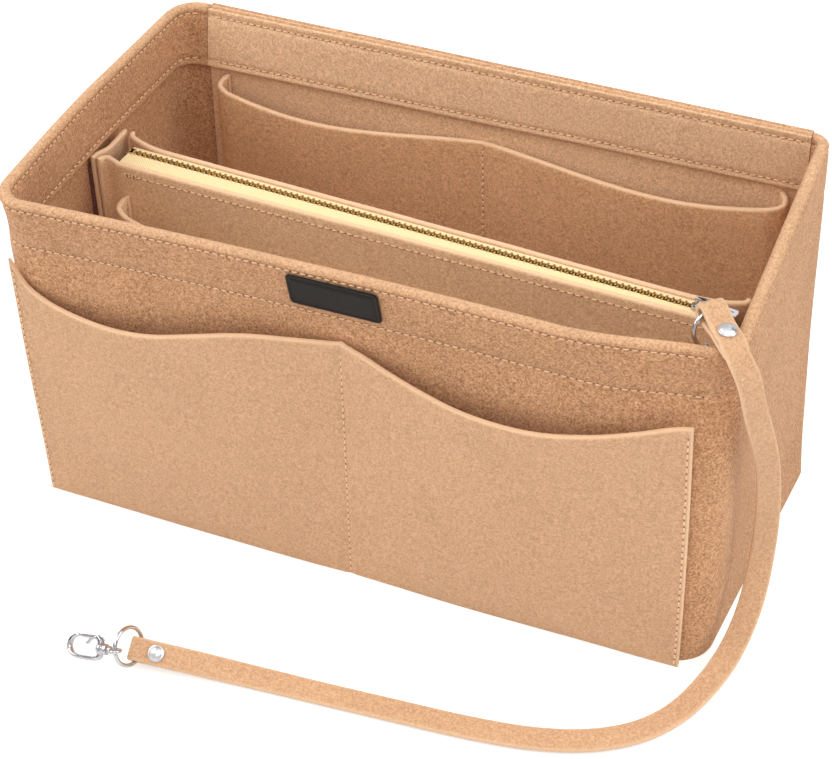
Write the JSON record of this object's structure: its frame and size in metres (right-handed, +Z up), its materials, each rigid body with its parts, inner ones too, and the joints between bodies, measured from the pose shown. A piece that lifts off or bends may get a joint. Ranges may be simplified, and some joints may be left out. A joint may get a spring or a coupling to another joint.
{
  "type": "purse organizer insert",
  "caption": "Open felt box that stands inside a handbag, with slip pockets, a lift-out zip pouch and a key strap that has a snap hook at each end.",
  "frame": {"origin": "centre of the box's footprint, outer pocket included, on the surface that it stands on", "axes": "+X along the box's long side, to the right seen from the front; +Y to the back; +Z up"},
  "size_m": [0.3687, 0.2813, 0.1917],
  "materials": {
    "felt": "pressed wool-like felt, matt, with a fine nap and light mottling",
    "pad": "dark woven hook-and-loop tape",
    "zip_tape": "cream twill tape",
    "teeth": "polished gold-coloured metal",
    "hardware": "bright plated metal",
    "label": "black leather with a pressed border"
  },
  "bodies": {
    "box": {"base_panel": "felt", "wall_wrap": "felt", "back_wall": "felt", "front_pocket": "felt", "back_inner_pocket": "felt", "label_patch": "label", "wall_left_pad": "pad", "wall_right_pad": "pad", "anchor_tab": "felt", "anchor_ring": "hardware", "strap": "felt", "near_rivet": "hardware", "far_rivet": "hardware", "near_ring": "hardware", "near_swivel": "hardware"},
    "pouch": {"pouch_front_panel": "felt", "pouch_back_panel": "felt", "pouch_left_gusset": "felt", "pouch_right_gusset": "felt", "pouch_bottom": "felt", "pouch_front_pocket": "felt", "pouch_left_pad": "pad", "pouch_right_pad": "pad", "front_tape": "zip_tape", "back_tape": "zip_tape", "front_teeth": "teeth", "back_teeth": "teeth", "zip_end_stop": "teeth", "zip_front_top_stop": "teeth", "zip_back_top_stop": "teeth"},
    "slider": {"slider_top": "hardware", "slider_base": "hardware"},
    "pull": {"slider_pull": "hardware"},
    "near_hook_body": {"near_hook": "hardware", "near_gate_pin": "hardware"},
    "near_gate_body": {"near_gate": "hardware"},
    "far_ring_body": {"far_ring": "hardware"},
    "far_swivel_body": {"far_swivel": "hardware"},
    "far_hook_body": {"far_hook": "hardware", "far_gate_pin": "hardware"},
    "far_gate_body": {"far_gate": "hardware"}
  },
  "joints": [
    {"name": "pouch_lift", "type": "slide", "parent": "box", "child": "pouch", "axis": [0, 0, 1], "range_m": [0, 0.2]},
    {"name": "slider_run", "type": "slide", "parent": "pouch", "child": "slider", "axis": [-0.998, 0.0629, 0], "range_m": [0, 0.285]},
    {"name": "pull_flip", "type": "hinge", "parent": "slider", "child": "pull", "pos_m": [0.14272, -0.01134, 0.1499], "axis": [0.0629, 0.998, 0], "range_deg": [-180, 0]},
    {"name": "near_hook_spin", "type": "hinge", "parent": "box", "child": "near_hook_body", "pos_m": [0.15909, -0.06727, 0.17173], "axis": [0.0502, 0.1004, -0.9937], "range_deg": [-15, 15]},
    {"name": "near_gate_open", "type": "hinge", "parent": "near_hook_body", "child": "near_gate_body", "pos_m": [0.16457, -0.06604, 0.15986], "axis": [-0.0051, 0.995, 0.1002], "range_deg": [0, 25], "stiffness_Nm_per_rad": 0.003, "springref_deg": -28.65},
    {"name": "far_ring_turn", "type": "hinge", "parent": "box", "child": "far_ring_body", "pos_m": [-0.0666, -0.17245, 0.0075], "axis": [-0.0692, 0.8111, 0.5808], "range_deg": [-60, 30]},
    {"name": "far_swivel_tilt", "type": "hinge", "parent": "far_ring_body", "child": "far_swivel_body", "pos_m": [-0.07197, -0.18437, 0.0169], "axis": [-0.2202, 0.4821, 0.848], "range_deg": [-35, 35]},
    {"name": "far_hook_spin", "type": "hinge", "parent": "far_swivel_body", "child": "far_hook_body", "pos_m": [-0.07197, -0.18437, 0.0169], "axis": [-0.9162, 0.1555, -0.3692], "continuous": true},
    {"name": "far_gate_open", "type": "hinge", "parent": "far_hook_body", "child": "far_gate_body", "pos_m": [-0.08398, -0.17913, 0.01585], "axis": [-0.3631, -0.7118, 0.6013], "range_deg": [0, 25], "stiffness_Nm_per_rad": 0.003, "springref_deg": -28.65}
  ]
}
